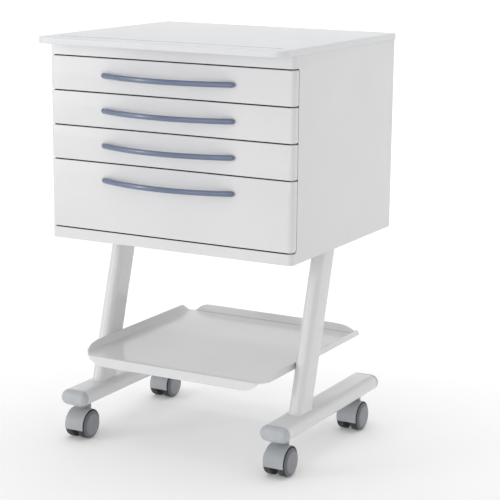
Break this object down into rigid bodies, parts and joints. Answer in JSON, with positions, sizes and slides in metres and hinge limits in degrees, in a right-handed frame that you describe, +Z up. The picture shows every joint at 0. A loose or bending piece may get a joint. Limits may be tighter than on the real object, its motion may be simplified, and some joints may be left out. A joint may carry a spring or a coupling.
{
  "type": "instrument cart",
  "caption": "Steel drawer cabinet with an overhanging worktop and bow handles, on leaning oval legs, foot bars and twin-wheel casters, with a tray shelf below.",
  "frame": {"origin": "on the floor, under the middle of the cart's overall box", "axes": "+Z up, +Y from the drawer fronts towards the back, +X to the right of someone facing the drawers"},
  "size_m": [0.606, 0.557, 0.9225],
  "materials": {
    "white_paint": "satin gloss powder coat",
    "worktop_white": "satin",
    "slate_blue": "semi-gloss",
    "cap_grey": "satin",
    "hood_grey": "satin",
    "wheel_grey": "matte",
    "black_rubber": "matte",
    "zinc_steel": "zinc plated"
  },
  "bodies": {
    "cart_frame": {"worktop": "worktop_white", "top_rail": "white_paint", "bottom_rail": "white_paint", "side_panel_left": "white_paint", "side_panel_right": "white_paint", "back_panel": "white_paint", "bottom_panel": "white_paint", "slide_rail_1_left": "zinc_steel", "slide_rail_1_right": "zinc_steel", "slide_rail_2_left": "zinc_steel", "slide_rail_2_right": "zinc_steel", "slide_rail_3_left": "zinc_steel", "slide_rail_3_right": "zinc_steel", "slide_rail_4_left": "zinc_steel", "slide_rail_4_right": "zinc_steel", "leg_left": "white_paint", "leg_right": "white_paint", "leg_plate_left": "zinc_steel", "leg_plate_right": "zinc_steel", "foot_bar_left": "white_paint", "foot_bar_right": "white_paint", "foot_cap_front_left": "cap_grey", "foot_cap_front_right": "cap_grey", "foot_cap_back_left": "cap_grey", "foot_cap_back_right": "cap_grey", "shelf_tray": "white_paint", "shelf_pad_left": "black_rubber", "shelf_pad_right": "black_rubber", "caster_stem_front_left": "zinc_steel", "caster_stem_front_right": "zinc_steel", "caster_stem_back_left": "zinc_steel", "caster_stem_back_right": "zinc_steel"},
    "drawer_1": {"drawer_1_front": "white_paint", "drawer_1_box": "white_paint", "drawer_1_handle": "slate_blue"},
    "drawer_2": {"drawer_2_front": "white_paint", "drawer_2_box": "white_paint", "drawer_2_handle": "slate_blue"},
    "drawer_3": {"drawer_3_front": "white_paint", "drawer_3_box": "white_paint", "drawer_3_handle": "slate_blue"},
    "drawer_4": {"drawer_4_front": "white_paint", "drawer_4_box": "white_paint", "drawer_4_handle": "slate_blue"},
    "swivel_front_left": {"caster_hood_front_left": "hood_grey", "caster_axle_front_left": "zinc_steel"},
    "swivel_front_right": {"caster_hood_front_right": "hood_grey", "caster_axle_front_right": "zinc_steel"},
    "swivel_back_left": {"caster_hood_back_left": "hood_grey", "caster_axle_back_left": "zinc_steel"},
    "swivel_back_right": {"caster_hood_back_right": "hood_grey", "caster_axle_back_right": "zinc_steel"},
    "roller_left_front_left": {"wheel_left_front_left": "wheel_grey"},
    "roller_right_front_left": {"wheel_right_front_left": "wheel_grey"},
    "roller_left_front_right": {"wheel_left_front_right": "wheel_grey"},
    "roller_right_front_right": {"wheel_right_front_right": "wheel_grey"},
    "roller_left_back_left": {"wheel_left_back_left": "wheel_grey"},
    "roller_right_back_left": {"wheel_right_back_left": "wheel_grey"},
    "roller_left_back_right": {"wheel_left_back_right": "wheel_grey"},
    "roller_right_back_right": {"wheel_right_back_right": "wheel_grey"}
  },
  "joints": [
    {"name": "drawer_1_slide", "type": "slide", "parent": "cart_frame", "child": "drawer_1", "axis": [0, -1, 0], "range_m": [0, 0.36]},
    {"name": "drawer_2_slide", "type": "slide", "parent": "cart_frame", "child": "drawer_2", "axis": [0, -1, 0], "range_m": [0, 0.36]},
    {"name": "drawer_3_slide", "type": "slide", "parent": "cart_frame", "child": "drawer_3", "axis": [0, -1, 0], "range_m": [0, 0.36]},
    {"name": "drawer_4_slide", "type": "slide", "parent": "cart_frame", "child": "drawer_4", "axis": [0, -1, 0], "range_m": [0, 0.36]},
    {"name": "swivel_front_left_turn", "type": "hinge", "parent": "cart_frame", "child": "swivel_front_left", "pos_m": [-0.257, -0.1595, 0.0705], "axis": [0, 0, 1], "continuous": true},
    {"name": "swivel_front_right_turn", "type": "hinge", "parent": "cart_frame", "child": "swivel_front_right", "pos_m": [0.257, -0.1595, 0.0705], "axis": [0, 0, 1], "continuous": true},
    {"name": "swivel_back_left_turn", "type": "hinge", "parent": "cart_frame", "child": "swivel_back_left", "pos_m": [-0.257, 0.2085, 0.0705], "axis": [0, 0, 1], "continuous": true},
    {"name": "swivel_back_right_turn", "type": "hinge", "parent": "cart_frame", "child": "swivel_back_right", "pos_m": [0.257, 0.2085, 0.0705], "axis": [0, 0, 1], "continuous": true},
    {"name": "roller_left_front_left_spin", "type": "hinge", "parent": "swivel_front_left", "child": "roller_left_front_left", "pos_m": [-0.257, -0.177, 0.0325], "axis": [1, 0, 0], "continuous": true},
    {"name": "roller_right_front_left_spin", "type": "hinge", "parent": "swivel_front_left", "child": "roller_right_front_left", "pos_m": [-0.257, -0.177, 0.0325], "axis": [1, 0, 0], "continuous": true},
    {"name": "roller_left_front_right_spin", "type": "hinge", "parent": "swivel_front_right", "child": "roller_left_front_right", "pos_m": [0.257, -0.177, 0.0325], "axis": [1, 0, 0], "continuous": true},
    {"name": "roller_right_front_right_spin", "type": "hinge", "parent": "swivel_front_right", "child": "roller_right_front_right", "pos_m": [0.257, -0.177, 0.0325], "axis": [1, 0, 0], "continuous": true},
    {"name": "roller_left_back_left_spin", "type": "hinge", "parent": "swivel_back_left", "child": "roller_left_back_left", "pos_m": [-0.257, 0.191, 0.0325], "axis": [1, 0, 0], "continuous": true},
    {"name": "roller_right_back_left_spin", "type": "hinge", "parent": "swivel_back_left", "child": "roller_right_back_left", "pos_m": [-0.257, 0.191, 0.0325], "axis": [1, 0, 0], "continuous": true},
    {"name": "roller_left_back_right_spin", "type": "hinge", "parent": "swivel_back_right", "child": "roller_left_back_right", "pos_m": [0.257, 0.191, 0.0325], "axis": [1, 0, 0], "continuous": true},
    {"name": "roller_right_back_right_spin", "type": "hinge", "parent": "swivel_back_right", "child": "roller_right_back_right", "pos_m": [0.257, 0.191, 0.0325], "axis": [1, 0, 0], "continuous": true}
  ]
}
